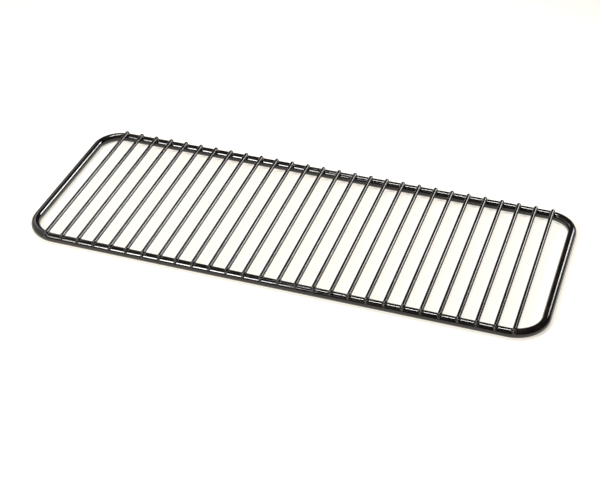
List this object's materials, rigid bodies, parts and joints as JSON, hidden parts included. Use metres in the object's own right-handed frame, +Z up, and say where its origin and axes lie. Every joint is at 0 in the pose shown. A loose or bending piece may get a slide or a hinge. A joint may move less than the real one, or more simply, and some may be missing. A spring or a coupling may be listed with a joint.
{
  "type": "hibachi grill cooking grate",
  "caption": "Rectangular wire cooking grate with rounded corners: round crossbars welded across a bent perimeter rod, all in gloss black enamel.",
  "frame": {"origin": "centre of the grate's box, on the surface that the perimeter rod rests on", "axes": "+X along the long side, +Y across the grate from front to back along the crossbars, +Z up, away from the resting surface, towards the food"},
  "size_m": [0.4542, 0.1752, 0.0101],
  "materials": {
    "black_enamel": "gloss vitreous enamel on steel rod"
  },
  "bodies": {
    "root": {"perimeter_rod": "black_enamel", "crossbar_01": "black_enamel", "crossbar_02": "black_enamel", "crossbar_03": "black_enamel", "crossbar_04": "black_enamel", "crossbar_05": "black_enamel", "crossbar_06": "black_enamel", "crossbar_07": "black_enamel", "crossbar_08": "black_enamel", "crossbar_09": "black_enamel", "crossbar_10": "black_enamel", "crossbar_11": "black_enamel", "crossbar_12": "black_enamel", "crossbar_13": "black_enamel", "crossbar_14": "black_enamel", "crossbar_15": "black_enamel", "crossbar_16": "black_enamel", "crossbar_17": "black_enamel", "crossbar_18": "black_enamel", "crossbar_19": "black_enamel", "crossbar_20": "black_enamel", "crossbar_21": "black_enamel", "crossbar_22": "black_enamel", "crossbar_23": "black_enamel", "crossbar_24": "black_enamel", "crossbar_25": "black_enamel", "crossbar_26": "black_enamel", "crossbar_27": "black_enamel", "crossbar_28": "black_enamel"}
  },
  "joints": []
}
